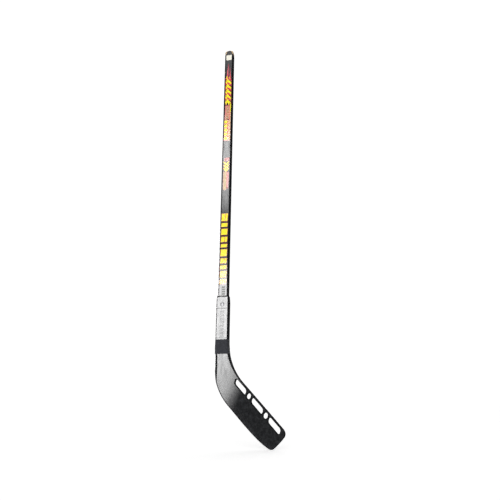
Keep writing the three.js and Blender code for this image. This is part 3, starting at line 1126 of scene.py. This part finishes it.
def build_screw(name, node, side, look):
    """A countersunk screw with a cross recess: its top and its underside are both heights over a
    round plan, so the shank is a steep step in the underside."""
    head, rim, shank, step, tip, length = 4.4, 0.4, 2.0, 0.02, 3.5, 12.7
    arm, width, slope, depth = 2.5, 0.62, 0.28, 1.5
    dome, dome_start = 0.35, 3.7
    outline = circle((0, 0), head, 48)
    drawn = [circle((0, 0), radius, 32) for radius in (4.1, 3.6, shank + step, shank - step, 1)]
    drawn += [cross_ring(arm, width), cross_ring(arm - slope, width - slope)]
    points, triangles, _ = divide(outline, (), drawn, [(0, 0)])
    x, y = np.abs(points).T
    radius = np.hypot(x, y)
    inside = np.maximum(np.minimum(arm - x, width - y), np.minimum(width - x, arm - y))
    top = -dome * smooth(radius, dome_start, head) - depth * np.clip(inside / slope, 0, 1)
    cone = -rim - (head - radius)
    point = -length + tip * np.clip(radius / shank, 0, 1)
    under = np.where(radius > shank, cone, point)
    low, high = box_mm(node)
    seat = high.y if side > 0 else -low.y
    turn = math.radians(24 * side)
    x, z = (points @ np.array([[math.cos(turn), math.sin(turn)], [-math.sin(turn), math.cos(turn)]])).T
    z = z + middle_height(node)
    outer = sheet(x, side * (seat + top), z)
    inner = sheet(x, side * (seat + under), z)
    piece(name, closed_sheet(triangles, outer, inner), [look], node)


# ---------- tape and label ----------
OVERLAP_LOW, OVERLAP_HIGH = -938.0, -926.5  # where the two turns of tape lie over each other


def neck_right(z):
    """The x of the neck's throat side at this height."""
    fallen = np.clip(THROAT_CENTRE[1] - z, 0, THROAT_RADIUS)
    return THROAT_CENTRE[0] - np.sqrt(THROAT_RADIUS ** 2 - fallen ** 2)


def tape_turn(name, low, high, over, seed, look, node):
    """One turn of tape round the neck. over is how far it's lifted where it lies on the other."""
    columns, rows, stand_off = 180, 20, 0.05
    fray_size, sway_size, edge_wear = 0.22, 0.5, 0.12
    chance = random.Random(seed)
    fray = np.array([[chance.uniform(-fray_size, fray_size) for _ in range(columns)] for _ in range(2)])
    share = np.arange(columns) / columns
    sway = sway_size * np.sin(2 * math.pi * share + seed)
    sheets = []
    flat = []
    for thickness in (0.34, 0.0):
        sheet = []
        for v in np.linspace(0, 1, rows + 1):
            z = low + (high - low) * v + sway + fray[0] * (1 - v) ** 6 + fray[1] * v ** 6
            right = neck_right(z)
            worn_edge = edge_wear * abs(2 * v - 1) ** 8 * (thickness > 0)
            lift = over * (1 - smooth(z, OVERLAP_HIGH - 0.2, OVERLAP_HIGH + 1.6))
            off = stand_off + lift + thickness - worn_edge
            for column in range(columns):
                half = (right[column] + SOCKET_HALF) / 2 + off[column]
                size = (half, SOCKET_DEPTH / 2 + off[column], SOCKET_CORNER + off[column])
                s = share[column:column + 1] * perimeter(*size)
                (x, y), = around(s, *size)[0]
                sheet.append(np.array([x + (right[column] - SOCKET_HALF) / 2, y, z[column]]))
                flat.append((s[0] * MM, z[column] * MM))
        sheets.append(sheet)
    across = [(column, (column + 1) % columns) for column in range(columns)]
    starts = range(0, rows * columns, columns)
    polygons = [(i + a, i + b, i + b + columns, i + a + columns) for i in starts for a, b in across]
    made = piece(name, closed_sheet(polygons, *sheets), [look], node, sharp=60)
    layer = made.data.uv_layers.new(name="wrap")
    girth = perimeter(SOCKET_HALF, SOCKET_DEPTH / 2, SOCKET_CORNER) * MM
    for polygon in made.data.polygons:
        spots = [flat[made.data.loops[i].vertex_index % len(sheets[0])] for i in polygon.loop_indices]
        far = max(s for s, _ in spots)
        for i, (s, z) in zip(polygon.loop_indices, spots):
            layer.data[i].uv = (s + girth if far - s > girth / 2 else s, z)


def build_tape():
    look = tape_cloth()
    edge_room, over = 0.7, 0.38
    tape_turn("tape_lower_turn", tape_low.z + edge_room, OVERLAP_HIGH, 0, 11, look, "neck_tape")
    tape_turn("tape_upper_turn", OVERLAP_LOW, tape_high.z - edge_room, over, 12, look, None)


def build_label():
    """A paper label, stuck down but for one corner that has begun to lift."""
    thickness, lifted, creased = 0.18, 0.2, 0.06
    half = label_high.x
    middle = middle_height("butt_label")
    outline = rounded_rectangle(half, label_high.z - middle, 1.0, (0, middle))
    grid = itertools.product(np.arange(-half + 1, half, 1), np.arange(label_low.z + 1, label_high.z, 1))
    points, triangles, _ = divide(outline, points=grid)
    x, z = points.T
    lift = lifted * smooth(x, half - 3.5, half + 1) * smooth(label_low.z + 9 - z, 0, 9)
    crease = creased * np.exp(-((z - middle - 3 - 0.25 * x) / 0.5) ** 2)
    front = label_low.y - crease - lift
    solid = closed_sheet(triangles, sheet(x, front, z), sheet(x, front + thickness, z))
    piece("blank_label", solid, [label_paper()], "butt_label")


build_shaft_wood()
build_film()
build_blade()
screw_steel = zinc()
build_screw("front_screw_head", "front_blade_screw", -1, screw_steel)
build_screw("rear_screw_head", "rear_blade_screw", 1, screw_steel)
build_tape()
build_label()


# ---------- floor, lights and camera ----------
FACE = -14.3  # the azimuth that the camera sees in the printed face
LAMPS = [  # azimuth, low, high, width, distance, radiance, aside
    ("key", FACE, -740, -310, 520, 2000, 22, 0),
    ("neck_key", FACE, -890, -740, 520, 2000, 16, 0),
    ("key_top", FACE, -310, -130, 520, 2000, 22, 0),
    ("low_key", FACE, -1120, -890, 590, 2000, 16, 205),
    ("low_side", FACE, -1330, -1120, 470, 2000, 13, 265),
    ("upper_low", FACE, 400, 590, 560, 2000, 11.5, 0),
    ("middle", FACE, 590, 860, 560, 2000, 8, 0),
    ("upper", FACE, 860, 1050, 560, 2000, 21, 0),
    ("top", FACE, 1750, 2100, 560, 2000, 3, 0),
    ("rear_key", 205, -900, 300, 500, 2200, 16, 0),
    ("left_rim", -118, -900, 400, 400, 2200, 6, 0),
    ("rear_left", -130, -900, 400, 400, 2200, 8, 0),
]


def floor():
    mesh = bpy.data.meshes.new("floor")
    half, cells = 14.0, 4
    ticks = series(-half, 2 * half / cells, cells + 1)
    vertices = [(x, y, FLOOR * MM) for y in ticks for x in ticks]
    row = cells + 1
    corners = [j * row + i for j in range(cells) for i in range(cells)]
    mesh.from_pydata(vertices, [], [(c, c + 1, c + row + 1, c + row) for c in corners])
    look = Look("floor")
    tone = look.noise(300, 2)
    look.colour(look.ramp(tone, (0.3, 0.93), (0.7, 0.96)))
    look.set("Roughness", 0.9)
    look.set("Specular IOR Level", 0.0)
    look.set("Emission Color", (1, 1, 1))
    look.set("Emission Strength", 0.6)
    mesh.materials.append(look.material)
    made = placed("floor", mesh)
    made.visible_glossy = False
    made.visible_diffuse = False


def surroundings():
    """A white room as the camera sees it. What it lights, it lights more from the front and the rear
    than from the sides, and the gloss sees it nearly black, so that only the softboxes shine there."""
    seen, at_sides, front_and_rear, mirrored, power = 1.06, 0.12, 2.76, 0.03, 4.0
    world = bpy.data.worlds.new("studio")
    room = Nodes(world)
    apart = room.make("SeparateXYZ", Vector=room.make("TexCoord").outputs["Generated"])
    ahead = room.math("POWER", room.math("ABSOLUTE", apart.outputs["Y"]), power)
    path = room.make("LightPath")
    lit = room.between(ahead, at_sides, front_and_rear)
    level = room.between(path.outputs["Is Diffuse Ray"], seen, lit)
    level = room.between(path.outputs["Is Glossy Ray"], level, mirrored)
    back = room.nodes["Background"]
    room.join((1, 1, 1), back.inputs["Color"])
    room.join(level, back.inputs["Strength"])
    bpy.context.scene.world = world


def softbox(name, azimuth, low, high, width, distance, radiance, aside):
    """An upright lamp panel that faces the stick, which only gloss sees. Azimuth 0 is in front of the
    printed face, and grows towards +X; low and high are the heights of the panel's edges."""
    angle = math.radians(azimuth)
    out = Vector((math.sin(angle), -math.cos(angle), 0))
    side = Vector((math.cos(angle), math.sin(angle), 0))
    data = bpy.data.lights.new(name, "AREA")
    data.shape = "RECTANGLE"
    data.size = width * MM
    data.size_y = (high - low) * MM
    data.energy = radiance * math.pi * data.size * data.size_y
    lamp = placed(name, data)
    lamp.location = (out * distance + side * aside + Vector((0, 0, (low + high) / 2))) * MM
    lamp.rotation_mode = "QUATERNION"
    lamp.rotation_quaternion = out.to_track_quat("Z", "Y")
    lamp.visible_camera = False
    lamp.visible_diffuse = False


def camera():
    """The photograph's view: near the floor, right of the stick, looking up and a little left."""
    yaw, pitch, roll = (math.radians(value) for value in (10.68, 19.03, 0.32))
    data = bpy.data.cameras.new("camera")
    data.lens = 30.96
    data.sensor_width = 36.0
    made = placed("camera", data)
    turned = Matrix.Rotation(yaw, 4, "Z") @ Matrix.Rotation(math.pi / 2 + pitch, 4, "X")
    turned = turned @ Matrix.Rotation(roll, 4, "Z")
    made.matrix_world = Matrix.Translation(Vector((293, -1156, -1062)) * MM) @ turned
    bpy.context.scene.camera = made


floor()
surroundings()
for lamp in LAMPS:
    softbox(*lamp)
camera()
bpy.context.scene.view_settings.view_transform = "Standard"
